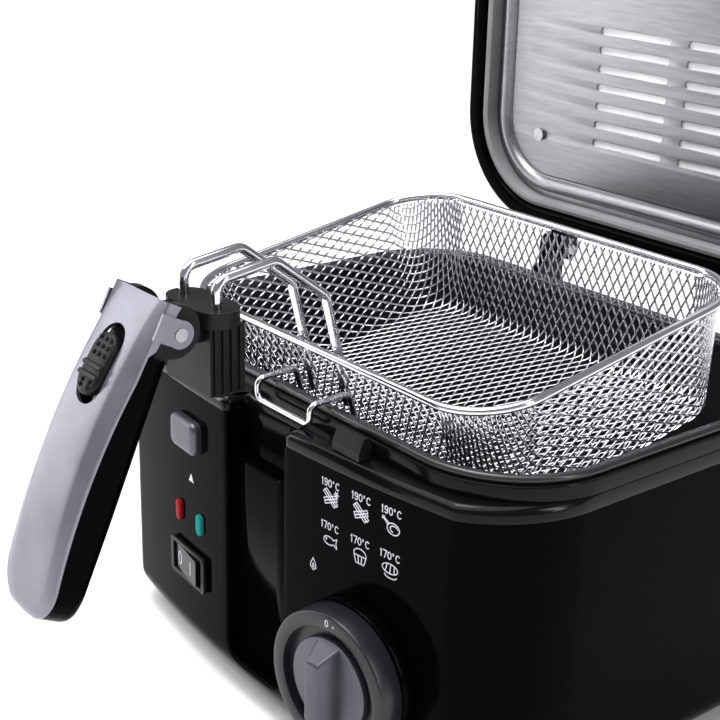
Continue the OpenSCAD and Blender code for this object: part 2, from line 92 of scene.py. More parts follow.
def on_front(x, z):
    """The frame of a piece on the bowed front: -Y points straight out of the surface."""
    a = math.asin(x / BOW_R)
    return move(x, FRONT_Y + BOW_R * (1 - math.cos(a)), z) @ Matrix.Rotation(a, 4, "Z")


# ---- materials ----

GRAIN_DEPTH = 0.0002


def material(name, colour, rough, metallic=0.0, spread=0.06, scale=60.0, bump=0.0, bump_scale=900.0,
             tint=0.12, specular=0.5, coat=0.0, coat_rough=0.05, stretch=(1, 1, 1), emission=0.0):
    """A procedural finish: noise moves its colour and roughness a little, and finer noise gives its grain."""
    mat = bpy.data.materials.new(name)
    mat.use_nodes = True
    nt = mat.node_tree
    bsdf = nt.nodes["Principled BSDF"]
    co = nt.nodes.new("ShaderNodeTexCoord")
    mp = nt.nodes.new("ShaderNodeMapping")
    mp.inputs["Scale"].default_value = stretch
    nt.links.new(co.outputs["Object"], mp.inputs["Vector"])
    wide = nt.nodes.new("ShaderNodeTexNoise")
    wide.inputs["Scale"].default_value = scale
    wide.inputs["Detail"].default_value = 4
    nt.links.new(mp.outputs["Vector"], wide.inputs["Vector"])
    rr = nt.nodes.new("ShaderNodeMapRange")
    rr.inputs["To Min"].default_value = max(rough - spread, 0.02)
    rr.inputs["To Max"].default_value = min(rough + spread, 1)
    nt.links.new(wide.outputs["Fac"], rr.inputs["Value"])
    nt.links.new(rr.outputs["Result"], bsdf.inputs["Roughness"])
    ramp = nt.nodes.new("ShaderNodeValToRGB")
    ramp.color_ramp.elements[0].position = 0.3
    ramp.color_ramp.elements[1].position = 0.7
    ramp.color_ramp.elements[0].color = [c * (1 - tint) for c in colour] + [1]
    ramp.color_ramp.elements[1].color = [min(c * (1 + tint), 1) for c in colour] + [1]
    nt.links.new(wide.outputs["Fac"], ramp.inputs["Fac"])
    nt.links.new(ramp.outputs["Color"], bsdf.inputs["Base Color"])
    if bump:
        fine = nt.nodes.new("ShaderNodeTexNoise")
        fine.inputs["Scale"].default_value = bump_scale
        fine.inputs["Detail"].default_value = 3
        nt.links.new(mp.outputs["Vector"], fine.inputs["Vector"])
        bn = nt.nodes.new("ShaderNodeBump")
        bn.inputs["Strength"].default_value = bump
        bn.inputs["Distance"].default_value = GRAIN_DEPTH
        nt.links.new(fine.outputs["Fac"], bn.inputs["Height"])
        nt.links.new(bn.outputs["Normal"], bsdf.inputs["Normal"])
    bsdf.inputs["Metallic"].default_value = metallic
    bsdf.inputs["Specular IOR Level"].default_value = specular
    bsdf.inputs["Coat Weight"].default_value = coat
    bsdf.inputs["Coat Roughness"].default_value = coat_rough
    if emission:
        bsdf.inputs["Emission Color"].default_value = list(colour) + [1]
        bsdf.inputs["Emission Strength"].default_value = emission
    return mat


MATS = {
    "black_gloss": material("black_gloss", (0.0012, 0.0012, 0.0016), 0.1, spread=0.03, specular=0.014,
                            bump=0.03),
    "trim_black": material("trim_black", (0.003, 0.003, 0.0036), 0.16, spread=0.04, specular=0.14,
                           bump=0.05),
    "vat_coating": material("vat_coating", (0.02, 0.02, 0.023), 0.26, metallic=0.2, spread=0.06, bump=0.12),
    "rubber_foot": material("rubber_foot", (0.02, 0.02, 0.02), 0.75, bump=0.3),
    "screw_steel": material("screw_steel", (0.36, 0.36, 0.38), 0.28, metallic=1, stretch=(1, 1, 14),
                            bump=0.1),
    "element_steel": material("element_steel", (0.3, 0.28, 0.26), 0.35, metallic=1, tint=0.3, bump=0.1),
    "reflector_alu": material("reflector_alu", (0.75, 0.75, 0.76), 0.35, metallic=1, bump=0.1),
    "ceramic_white": material("ceramic_white", (0.75, 0.73, 0.68), 0.6, bump=0.2),
    "copper_bulb": material("copper_bulb", (0.7, 0.35, 0.2), 0.3, metallic=1, tint=0.2),
    "black_matte": material("black_matte", (0.005, 0.005, 0.006), 0.42, spread=0.08, specular=0.2,
                            bump=0.35),
    "red_lens": material("red_lens", (0.19, 0.0015, 0.0025), 0.12, specular=0.03, emission=0.1),
    "green_lens": material("green_lens", (0.004, 0.17, 0.16), 0.12, specular=0.03, emission=0.1),
    "board_green": material("board_green", (0.02, 0.2, 0.08), 0.5, tint=0.3),
    "silver_paint": material("silver_paint", (0.2, 0.2, 0.236), 0.36, metallic=0.75, spread=0.05, bump=0.12,
                             bump_scale=5000, coat=0.08, coat_rough=0.25),
    "liner_metal": material("liner_metal", (0.27, 0.27, 0.285), 0.36, metallic=1, stretch=(1, 12, 12),
                            bump=0.12),
    "seal_grey": material("seal_grey", (0.2, 0.2, 0.21), 0.6, bump=0.25),
    "filter_foam": material("filter_foam", (0.05, 0.05, 0.05), 0.95, tint=0.4, bump=1.0, bump_scale=1500),
    "chrome_wire": material("chrome_wire", (0.66, 0.66, 0.7), 0.13, metallic=1, spread=0.05, tint=0.05,
                            bump=0.04),
}
PRINT_WHITE = material("print_white", (0.62, 0.62, 0.68), 0.55, tint=0.15, scale=900)
# A darker copy of the silver paint for the release button and the dial's grip on the front: painted shade.
SILVER_PAINTED_SHADE = material("silver_painted_shade", (0.09, 0.09, 0.108), 0.36, metallic=0.75, spread=0.05, bump=0.12,
                       bump_scale=5000)
DRUM_BLACK = material("drum_black", (0.012, 0.012, 0.016), 0.3, specular=0.35, spread=0.05, bump=0.05)
# A much lighter copy of the liner metal for the louvres pressed into the lid's liner: painted highlight.
SLOT_PAINTED_HIGHLIGHT = material("slot_painted_highlight", (0.62, 0.62, 0.64), 0.4, metallic=0.4, bump=0.1)


# ---- mesh helpers ----

WELD = 0.000004
TURNED_SIDES = 96


def piece(name, verts, faces, body, slot, place=WORLD, replaces=(), sharp=32, mat=None, facing=None,
          thick=0.0):
    """A piece from points in millimetres in the frame `place`. facing turns an open sheet's normals that
    way, and thick gives it a wall on its inner side. mat shows instead of the slot's own finish."""
    full = Matrix.Translation((0, SHIFT_Y, 0)) @ Matrix.Scale(MM, 4) @ place
    pts = np.asarray(verts, float).reshape(-1, 3)
    m = np.array(full)
    pts = pts @ m[:3, :3].T + m[:3, 3]
    me = bpy.data.meshes.new(name)
    me.from_pydata(pts.tolist(), [], [list(map(int, f)) for f in faces])
    bm = bmesh.new()
    bm.from_mesh(me)
    bmesh.ops.remove_doubles(bm, verts=bm.verts, dist=WELD)
    bmesh.ops.dissolve_degenerate(bm, edges=bm.edges, dist=WELD / 2)
    bmesh.ops.recalc_face_normals(bm, faces=bm.faces)
    if facing is not None:
        want = m[:3, :3] @ np.array(facing, float)
        total = sum((f.normal * f.calc_area() for f in bm.faces), Vector())
        if total.dot(Vector(want)) < 0:
            bmesh.ops.reverse_faces(bm, faces=bm.faces)
    bm.to_mesh(me)
    bm.free()
    me.polygons.foreach_set("use_smooth", [True] * len(me.polygons))
    me.set_sharp_from_angle(angle=math.radians(sharp))
    ob = bpy.data.objects.new(name, me)
    bpy.context.scene.collection.objects.link(ob)
    me.materials.append(mat or MATS[slot])
    if thick:
        so = ob.modifiers.new("thickness", "SOLIDIFY")
        so.thickness = thick * MM
        so.offset = -1
    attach(ob, body)
    if replaces:
        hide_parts(*replaces)
    return ob


def loft(rings, closed=True, caps=(False, False), profile_closed=False):
    """Joins rings of equal point counts into faces, and can fill the first and last ring."""
    n = len(rings[0])
    verts = np.concatenate([np.asarray(r, float) for r in rings])
    faces = []
    pairs = [(i, i + 1) for i in range(len(rings) - 1)] + ([(len(rings) - 1, 0)] if profile_closed else [])
    for i, k in pairs:
        for j in range(n if closed else n - 1):
            j2 = (j + 1) % n
            faces.append((i * n + j, i * n + j2, k * n + j2, k * n + j))
    if caps[0]:
        faces.append(list(range(n))[::-1])
    if caps[1]:
        faces.append([(len(rings) - 1) * n + j for j in range(n)])
    return verts, faces


def merge(*parts):
    """Several (points, faces) pairs as one."""
    verts, faces, base = [], [], 0
    for v, f in parts:
        verts.append(np.asarray(v, float).reshape(-1, 3))
        faces += [[i + base for i in face] for face in f]
        base += len(verts[-1])
    return np.concatenate(verts), faces


def round_path(points, radius, steps=8, closed=False):
    """A path with each corner replaced by an arc."""
    pts = [Vector(p) for p in points]
    n, out = len(pts), []
    for i, p in enumerate(pts):
        if not closed and i in (0, n - 1):
            out.append(p)
            continue
        a, b = pts[i - 1] - p, pts[(i + 1) % n] - p
        r = radius[i] if hasattr(radius, "__len__") else radius
        half = a.angle(b) / 2
        cut = min(r / math.tan(half), a.length * 0.49, b.length * 0.49)
        r = cut * math.tan(half)
        start, end = p + a.normalized() * cut, p + b.normalized() * cut
        mid = p + (a.normalized() + b.normalized()).normalized() * (r / math.sin(half))
        va, vb = start - mid, end - mid
        for k in range(steps + 1):
            t = k / steps
            out.append(mid + va.normalized().slerp(vb.normalized(), t) * r)
    return out


def tube(points, r, sides=14, closed=False):
    """A round wire with domed ends along a path. Its frame is carried along so that it doesn't twist."""
    pts = [Vector(p) for p in points]
    clean = [pts[0]]
    for p in pts[1:]:
        if (p - clean[-1]).length > 0.02:
            clean.append(p)
    if closed and (clean[0] - clean[-1]).length < 0.02:
        clean.pop()
    n, rings = len(clean), []
    up = None
    for i, p in enumerate(clean):
        a = clean[i - 1] if closed or i else p
        b = clean[(i + 1) % n] if closed or i < n - 1 else p
        t = (b - a).normalized()
        if up is None:
            up = t.orthogonal().normalized()
        up = (up - t * up.dot(t)).normalized()
        side = t.cross(up)
        rings.append([p + (up * math.cos(q) + side * math.sin(q)) * r
                      for q in (2 * math.pi * k / sides for k in range(sides))])
    if not closed:
        def cap(ring, centre, out):
            made = []
            for f in (0.35, 0.7, 0.93):
                made.append([centre + (Vector(v) - centre) * math.sqrt(1 - f * f) + out * (r * f)
                             for v in ring])
            return made
        t0 = (clean[0] - clean[1]).normalized()
        t1 = (clean[-1] - clean[-2]).normalized()
        rings = cap(rings[0], clean[0], t0)[::-1] + rings + cap(rings[-1], clean[-1], t1)
    return loft([[tuple(q) for q in ring] for ring in rings], True, (not closed, not closed),
                profile_closed=closed)


def rr_ring(hw, hd, r, z, n=14, cy=0.0):
    """A rectangle with round corners as a ring of points, corner by corner."""
    out = []
    r = max(min(r, hw, hd), 0.01)
    for q, (sx, sy) in enumerate(((1, -1), (1, 1), (-1, 1), (-1, -1))):
        for k in range(n + 1):
            a = math.radians(-90 + 90 * q + 90 * k / n)
            out.append((sx * (hw - r) + r * math.cos(a), cy + sy * (hd - r) + r * math.sin(a), z))
    return out


def plate_ring(w, h, r, y, n=10):
    """The same ring standing in the XZ plane, for pieces on the front."""
    return [(p[0], y, p[1]) for p in rr_ring(w / 2, h / 2, r, 0, n)]


def round_ring(cx, cy, r, n):
    """n points around a circle."""
    return [(cx + r * math.cos(a), cy + r * math.sin(a)) for a in (2 * math.pi * k / n for k in range(n))]


def turned(profile):
    """A solid of revolution about Y from (radius, y) pairs."""
    return loft([[(x, y, z) for x, z in round_ring(0, 0, r, TURNED_SIDES)] for r, y in profile], True,
                (True, True))


def carve(ob, tool, sharp=32):
    """Cuts the tool's shape out of a piece for good, and removes the tool."""
    cut = ob.modifiers.new("cut", "BOOLEAN")
    cut.operation, cut.object, cut.solver = "DIFFERENCE", tool, "EXACT"
    bpy.context.view_layer.update()
    me = bpy.data.meshes.new_from_object(ob.evaluated_get(bpy.context.evaluated_depsgraph_get()))
    ob.modifiers.clear()
    ob.data = me
    me.set_sharp_from_angle(angle=math.radians(sharp))
    bpy.data.objects.remove(tool)


# ---- the outline of the body ----

def sdf_rr(x, y, hw, y0, y1, r):
    """Distance to a rectangle with round corners, negative inside."""
    qx = np.abs(x) - hw + r
    qy = np.abs(y - (y0 + y1) / 2) - (y1 - y0) / 2 + r
    return np.hypot(np.maximum(qx, 0), np.maximum(qy, 0)) + np.minimum(np.maximum(qx, qy), 0) - r


CREASE_BLEND = 0.6
FAR = 260.0
HALVINGS = 44


def sdf_body(x, y):
    """Distance to the body's plan: round corners, a bowed front, and a crease where the two meet."""
    a = sdf_rr(x, y, BODY_HW, FRONT_Y, REAR_Y, CORNER_R)
    b = np.hypot(x, y - FRONT_Y - BOW_R) - BOW_R
    h = np.clip(0.5 + 0.5 * (a - b) / CREASE_BLEND, 0, 1)
    both = b * (1 - h) + a * h + CREASE_BLEND * h * (1 - h)
    front = (np.abs(x) < BODY_HW - CORNER_R) & (y < FRONT_Y + CORNER_R)
    return np.where(front, b, np.where(y > 0, a, both))


def rays(theta, inset):
    """Points of the outline moved in by inset, along rays from the middle."""
    lo, hi = np.zeros_like(theta), np.full_like(theta, FAR)
    c, s = np.cos(theta), np.sin(theta)
    for _ in range(HALVINGS):
        mid = (lo + hi) / 2
        inside = sdf_body(mid * c, mid * s) < -inset
        lo, hi = np.where(inside, mid, lo), np.where(inside, hi, mid)
    return np.stack([lo * c, lo * s], 1)


def even(theta0, theta1, n, closed=False):
    """Ray angles that space the outline evenly."""
    t = np.linspace(theta0, theta1, 4000)
    p = rays(t, 0)
    d = np.concatenate([[0], np.cumsum(np.hypot(*np.diff(p, axis=0).T))])
    return np.interp(np.linspace(0, d[-1], n, endpoint=not closed), d, t)


def ring_at(theta, inset, z):
    """The outline at height z, moved in by inset."""
    p = rays(theta, inset)
    return np.column_stack([p, np.full(len(p), z)])


def bow_y(x):
    """Where the bowed front is at x."""
    return FRONT_Y + BOW_R - math.sqrt(BOW_R ** 2 - x * x)


def angle_of(x):
    """The ray angle of the front outline at x."""
    return math.atan2(bow_y(x), x)


AROUND = even(-math.pi / 2, 1.5 * math.pi, 520, closed=True)

# ---- housing ----

FOOT_H = 5.0
BASE_R = 14.0
SKIN = 0.35
WALL = 2.5


def skin_inset(z):
    """How far the outer wall is moved in at height z, for the round bottom edge."""
    k = max(FOOT_H + BASE_R - z, 0) / BASE_R
    return SKIN + BASE_R * (1 - math.sqrt(max(1 - k * k, 0)))


bottom_rows = [FOOT_H + BASE_R * (1 - math.cos(math.radians(a)))
               for a in (0, 8, 16, 26, 36, 46, 56, 66, 78, 90)]
side_rows = bottom_rows + [40, 62, 84, 106, LEDGE_Z - 0.2]
side = even(angle_of(PANEL_HW + 0.15), math.pi - angle_of(PANEL_HW + 0.15), 330)
rings = [ring_at(side, skin_inset(z), z) for z in side_rows]
inner = [ring_at(side, skin_inset(z) + WALL, max(z, FOOT_H + WALL)) for z in side_rows]
wall_v, wall_f = loft(rings + inner[::-1], closed=False, profile_closed=True)
n_side, n_prof = len(side), 2 * len(side_rows)
wall_f = wall_f + [[i * n_side for i in range(n_prof)],
                   [i * n_side + n_side - 1 for i in range(n_prof)][::-1]]
shell_ob = piece("body_shell", wall_v, wall_f, "base", "black_gloss", replaces=("outer_housing",))
VENT_Z, VENT_H, VENT_W, VENT_STEP = 65.0, 30.0, 3.0, 9.0
GLAND_X, GLAND_Z, GLAND_R = -60, 24, 7
cut_parts = [loft([[(p[0] + i * VENT_STEP, y, p[1] + VENT_Z)
                    for p in rr_ring(VENT_W / 2, VENT_H / 2, 1.4, 0, 6)]
                   for y in (REAR_Y - 6, REAR_Y + 4)], True, (True, True)) for i in range(-3, 4)]
cut_parts.append(loft([[(x, y, z) for x, z in round_ring(GLAND_X, GLAND_Z, GLAND_R, 40)]
                       for y in (REAR_Y - 8, REAR_Y + 4)], True, (True, True)))
carve(shell_ob, piece("wall_cutter", *merge(*cut_parts), "base", "black_matte"))

EDGE_R = 1.2
HOLE_HW, HOLE_Z, HOLE_R = 21.2, 14.8, 10.2
PANEL_DEEP = 11.4


def face_y(x, z):
    """The face of the front panel, with the round bottom edge."""
    return FRONT_Y + BOW_R - math.sqrt((BOW_R - skin_inset(z)) ** 2 - x * x)


low = [z for z in bottom_rows if z < HOLE_Z - 0.5] + [HOLE_Z]
arc = [(HOLE_Z + HOLE_R * (1 - math.cos(math.radians(a))),
        HOLE_HW - HOLE_R + HOLE_R * math.sin(math.radians(a)))
       for a in range(0, 91, 10)]
high = arc + [(z, HOLE_HW) for z in (30, 40, 55, 70, 85, 100, 115, LEDGE_Z - 0.2)]
NL, NC = 26, 8
floor_w = arc[0][1]
verts, faces = [], []


def span(x0, x1, n):
    """n even steps from x0 to x1."""
    return [x0 + (x1 - x0) * i / n for i in range(n + 1)]


def grid(rows):
    """Adds a sheet of faces through rows of equal point counts."""
    base = len(verts)
    for row in rows:
        verts.extend(row)
    w = len(rows[0])
    for i in range(len(rows) - 1):
        for j in range(w - 1):
            k = base + i * w + j
            faces.append((k, k + 1, k + w + 1, k + w))


cols = span(-PANEL_HW, -floor_w, NL)[:-1] + span(-floor_w, floor_w, NC)[:-1]
cols += span(floor_w, PANEL_HW, NL)
grid([[(x, face_y(x, z), z) for x in cols] for z in low])
for s in (-1, 1):
    grid([[(s * x, face_y(x, z), z) for x in span(PANEL_HW, w, NL)] for z, w in high])
path = [(-w, z, 1, 0) for z, w in high[::-1] if w >= HOLE_HW - 1e-6]
path += [(-w, z, math.cos(math.radians(90 - a)), math.sin(math.radians(90 - a)))
         for a, (z, w) in list(zip(range(0, 91, 10), arc))[::-1][1:]]
path += [(x, HOLE_Z, 0, 1) for x in span(-floor_w, floor_w, NC)[1:-1]]
first_low = path.index(next(q for q in path if q[1] == HOLE_Z))
path += [(-p[0], p[1], -p[2], p[3]) for p in path[:first_low + 1][::-1]]
steps = [(EDGE_R * math.sin(math.radians(a)), EDGE_R * (1 - math.cos(math.radians(a))))
         for a in range(0, 91, 15)]
steps += [(EDGE_R, PANEL_DEEP)]
grid([[(x + dx * lat, face_y(x, z) + dep, z + dz * lat) for x, z, dx, dz in path] for lat, dep in steps])
piece("front_panel_skin", verts, faces, "base", "black_gloss", replaces=("front_panel",), facing=(0, -1, 0))

STEP_Z = RIM_Z - 35
back = [(FRONT_Y + 4.6, 14.0), (FRONT_Y + 4.6, STEP_Z - 1.0), (FRONT_Y + 4.75, STEP_Z - 0.4),
        (FRONT_Y + 5.2, STEP_Z), (FRONT_Y + 9.6, STEP_Z), (FRONT_Y + 10.2, STEP_Z + 0.3),
        (FRONT_Y + 10.4, STEP_Z + 1), (FRONT_Y + 10.4, LEDGE_Z + 1.95)]
piece("channel_back", *loft([[(x, y, z) for y, z in back] for x in (-20.3, -10, 0, 10, 20.3)], closed=False),
      "base", "black_gloss", facing=(0, -1, 0), thick=1.2)

# ---- ledge with the collar, cut away over the channel ----

CHAN = 20.0
BEND = 3.0
NOTCH_Y = -103.0


walk = even(angle_of(CHAN + BEND), math.pi - angle_of(CHAN + BEND), 500)
ring0 = rays(walk, 0.0)
tan = np.gradient(ring0, axis=0)
nrm = np.column_stack([tan[:, 1], -tan[:, 0]])
nrm /= np.linalg.norm(nrm, axis=1)[:, None]
outline = [(p[0], p[1], n[0], n[1]) for p, n in zip(ring0, nrm)]
cx, cy = -CHAN - BEND, bow_y(CHAN + BEND) + BEND
notch = [(cx + BEND * math.cos(a), cy + BEND * math.sin(a), math.cos(a), math.sin(a))
         for a in (math.radians(-90 + 11.25 * k) for k in range(1, 9))]
notch += [(-CHAN, y, 1, 0) for y in np.linspace(cy + 0.8, NOTCH_Y - 1.0, 5)]
notch += [(-CHAN + 1 - math.cos(a), NOTCH_Y - 1 + math.sin(a), math.cos(a), -math.sin(a))
          for a in (math.radians(22.5 * k) for k in range(1, 5))]
notch += [(x, NOTCH_Y, 0, -1) for x in np.linspace(-CHAN + 2.5, 0, 9)]
outline += notch + [(-x, y, -nx, ny) for x, y, nx, ny in notch[:-1][::-1]]
EDGE_PTS = np.array(outline)
C_HW, C_HD, C_R = 130.6, 100.8, 46.6


def to_collar(p, inset=0.0):
    """The nearest points of the collar's outline."""
    out = []
    for x, y in p:
        x = float(np.clip(x, -C_HW, C_HW))
        qx, qy = abs(x) - C_HW + C_R, abs(y) - C_HD + C_R
        r = C_R - inset
        if qx > 0 and qy > 0:
            k = r / math.hypot(qx, qy)
            ax, ay = C_HW - C_R + qx * k, C_HD - C_R + qy * k
        elif qx > qy:
            ax, ay = C_HW - inset, abs(y)
        else:
            ax, ay = abs(x), C_HD - inset
        out.append((math.copysign(ax, x), math.copysign(ay, y)))
    return np.array(out)


collar = to_collar(EDGE_PTS[:, :2])
reach = np.hypot(*(EDGE_PTS[:, :2] - collar).T)
edge = np.minimum(2.8, 0.85 * reach)


def trim_ring(share, z, extra=0.0):
    """The ledge's outline, moved in by a share of its edge and a bit extra."""
    p = EDGE_PTS[:, :2] - EDGE_PTS[:, 2:] * (edge * share + extra)[:, None]
    return np.column_stack([p, np.full(len(p), z)])


def collar_ring(inset, z):
    p = to_collar(EDGE_PTS[:, :2], inset)
    return np.column_stack([p, np.full(len(p), z)])


rings = [trim_ring(0, LEDGE_Z, 1.4), trim_ring(0, LEDGE_Z, 0.4), trim_ring(0, LEDGE_Z + 0.12, 0.12),
         trim_ring(0, LEDGE_Z + 0.4), trim_ring(0, LEDGE_Z + 3.2), trim_ring(0.12, LEDGE_Z + 4.2),
         trim_ring(0.45, LEDGE_Z + 5.3), trim_ring(0.75, LEDGE_Z + 5.8), trim_ring(1, DECK_Z),
         collar_ring(0, DECK_Z), collar_ring(0, LIP_Z - 0.7), collar_ring(0.2, LIP_Z - 0.2),
         collar_ring(0.7, LIP_Z), collar_ring(6, LIP_Z)]
piece("ledge_trim", *loft(rings), "base", "trim_black", replaces=("top_trim",), sharp=40)

# ---- vat, with a rolled lip ----

VHW, VHD, VR = 129.0, 99.2, 45.0
VAT_FLOOR, VAT_UNDER = 35.2, 34.0


def vat_ring(inset, z):
    return rr_ring(VHW - inset, VHD - inset, max(VR - inset, 1), z, 16)


bead = [(1.6 - 1.6 * math.cos(math.radians(a)), LIP_Z + 1.4 + 1.6 * math.sin(math.radians(a)))
        for a in range(-50, 151, 16)]
inside = [(6.0 - 1.6 + 1.6 * math.sin(math.radians(a)), RIM_Z - 0.9 - 1.6 + 1.6 * math.cos(math.radians(a)))
          for a in range(0, 91, 15)]
cove = [(6.0 + 9 - 9 * math.cos(math.radians(a)), VAT_FLOOR + 9 - 9 * math.sin(math.radians(a)))
        for a in range(0, 91, 10)]
prof = [(7.6, LIP_Z + 0.2)] + bead + [(3.3, RIM_Z - 0.9)] + inside + [(6.0, 120), (6.0, 80)] + cove
prof += [(40, VAT_FLOOR), (80, VAT_FLOOR), (98, VAT_FLOOR)]
prof += [(98, VAT_UNDER), (40, VAT_UNDER), (15, VAT_UNDER), (8, 37), (4.8, 44), (4.8, 120), (4.8, LIP_Z)]
piece("vat_pan", *loft([vat_ring(i, z) for i, z in prof]), "base", "vat_coating", replaces=("vat",), sharp=40)

# ---- base plate, with dark bars for its air slots ----

PLATE_LOW, PLATE_TOP, PLATE_IN = FOOT_H + 0.1, FOOT_H + 2.6, 100
plate = [(BASE_R + 0.6, PLATE_LOW), (BASE_R + 0.6, PLATE_TOP), (60, PLATE_TOP), (PLATE_IN, PLATE_TOP),
         (PLATE_IN, PLATE_LOW), (60, PLATE_LOW)]
piece("base_tray", *loft([ring_at(AROUND[::2], i, z) for i, z in plate], profile_closed=True), "base",
      "black_matte", replaces=("base_plate",))
piece("base_core", *loft([ring_at(AROUND[::2], PLATE_IN - 0.2, z) for z in (PLATE_LOW, PLATE_TOP)], True,
                         (True, True)), "base", "black_matte")
BAR_STEP = 9.0
bars = [loft([[(p[0] + i * BAR_STEP, p[1], p[2]) for p in rr_ring(2.0, 28, 2, z, 6)]
              for z in (FOOT_H - 0.5, FOOT_H + 0.2)], True, (True, True)) for i in range(-5, 6)]
piece("base_ribs", *merge(*bars), "base", "black_matte")

# ---- lid ----

dome = [(9, 9), (9, 2.2), (8.7, 1.1), (8, 0.35), (7, 0.05), (2.6, 0.05), (1.4, 0.3), (0.5, 1), (0.12, 2),
        (0, 3.4), (0, 19), (0.5, 23.5), (1.6, 27.5), (3.3, 31.5), (5.8, 34.8), (9, 37.6), (13, 40.1),
        (17.6, 42), (24, 43.7), (30, 44.8), (37, 45.6), (50, 46), (70, 46), (90, 46), (108, 46)]
piece("lid_shell", *loft([ring_at(AROUND, i, LID_Z + z) for i, z in dome], True, (False, True)), "lid",
      "black_gloss", place=OPENED, replaces=("lid_outer_shell",))

LINER_Z = LID_Z + 9
flange = [(8.8, LINER_Z + 1), (8.8, LINER_Z), (16.4, LINER_Z)]
flange += [(20 - 3.4 * math.cos(math.radians(a)), LINER_Z - 3.0 * math.sin(math.radians(a)))
           for a in range(10, 171, 16)]
flange += [(23.6, LINER_Z), (25, LINER_Z)]
piece("liner_flange", *loft([ring_at(AROUND, i, z) for i, z in flange]), "lid", "liner_metal", place=OPENED,
      facing=(0, 0, -1))


def filled(name, loops, z, thick, bevel, body, slot, place, replaces=()):
    """A flat pressed sheet with holes: the first loop is its edge and the others are cut out of it."""
    cu = bpy.data.curves.new(name + "_outline", "CURVE")
    cu.dimensions = "2D"
    cu.fill_mode = "BOTH"
    cu.extrude = thick / 2
    cu.bevel_depth = bevel
    cu.bevel_resolution = 2
    for pts in loops:
        sp = cu.splines.new("POLY")
        sp.points.add(len(pts) - 1)
        for q, p in zip(sp.points, pts):
            q.co = (p[0], p[1], 0, 1)
        sp.use_cyclic_u = True
    tmp = bpy.data.objects.new(name + "_tmp", cu)
    bpy.context.scene.collection.objects.link(tmp)
    bpy.context.view_layer.update()
    me = bpy.data.meshes.new_from_object(tmp.evaluated_get(bpy.context.evaluated_depsgraph_get()))
    v = [(p.co.x, p.co.y, p.co.z + z) for p in me.vertices]
    f = [tuple(p.vertices) for p in me.polygons]
    bpy.data.objects.remove(tmp)
    return piece(name, v, f, body, slot, place, replaces)


SLOT_STEP, SLOT_HW = 9.1, 22
slots = []
for row in range(7):
    for x in (-49, 5):
        y = 66 - row * SLOT_STEP
        slots.append([(p[0] + x + SLOT_HW, p[1] + y) for p in rr_ring(SLOT_HW, 2, 1.95, 0, 6)])
holes = [round_ring(x, y, 1.9, 20) for x in (-85, 85) for y in (-68, 68)]
edge_loop = [tuple(p) for p in rays(AROUND[::2], 24.5)]
filled("liner_panel", [edge_loop] + slots + holes, LINER_Z + 0.5, 0.5, 0.25, "lid", "liner_metal", OPENED,
       ("lid_liner",))
TROUGH_ROWS = ((1.0, 0.3), (0.92, 0.75), (0.7, 0.98))
trough = []
for s in slots:
    c = np.mean(s, axis=0)
    trough.append(loft([[(c[0] + (p[0] - c[0]) * (1 - (1 - k) * 0.09), c[1] + (p[1] - c[1]) * k, LINER_Z + h)
                         for p in s] for k, h in TROUGH_ROWS], True, (False, True)))
# The louvres wear the lighter copy of the liner metal, a painted highlight.
piece("liner_louvres", *merge(*trough), "lid", "liner_metal", place=OPENED, mat=SLOT_PAINTED_HIGHLIGHT)
seal = [(9.3, 8.8), (9.3, 3.4), (9.9, 2), (11.6, 1.5), (13.2, 2), (13.8, 3.4), (13.8, 8.8)]
piece("seal_band", *loft([ring_at(AROUND, i, LID_Z + z) for i, z in seal]), "lid", "seal_grey", place=OPENED,
      replaces=("lid_seal",), facing=(0, 0, -1))

# ---- basket: one expanded sheet folded up at its sides ----

CORE_X, CORE_Y = 71.0, 45.5
FLAT, BEND_R, DEPTH, FLARE = 13.4, 6.0, 54.0, 6.0
WALL_TILT = math.atan2(FLARE, DEPTH - BEND_R)
BEND_A = math.pi / 2 - WALL_TILT
BEND_L = BEND_R * BEND_A
WALL_L = (DEPTH - BEND_R * (1 - math.cos(BEND_A)) - 0.4) / math.cos(WALL_TILT)
REACH = FLAT + BEND_L + WALL_L
TINY = 1e-9


def fold(x, y):
    """Where a point of the flat sheet lies on the basket, and the outward normal there."""
    cx, cy = np.clip(x, -CORE_X, CORE_X), np.clip(y, -CORE_Y, CORE_Y)
    dx, dy = x - cx, y - cy
    ln = np.hypot(dx, dy)
    ex = np.where(ln > TINY, dx / np.maximum(ln, TINY), 0)
    ey = np.where(ln > TINY, dy / np.maximum(ln, TINY), 0)
    a = np.clip((ln - FLAT) / BEND_R, 0, BEND_A)
    up = np.maximum(ln - FLAT - BEND_L, 0)
    out = np.minimum(ln, FLAT) + BEND_R * np.sin(a) + up * math.sin(WALL_TILT)
    z = -DEPTH + BEND_R * (1 - np.cos(a)) + up * math.cos(WALL_TILT)
    pos = np.stack([cx + ex * out, cy + ey * out, z], -1)
    nor = np.stack([ex * np.sin(a), ey * np.sin(a), -np.cos(a)], -1)
    return pos, nor


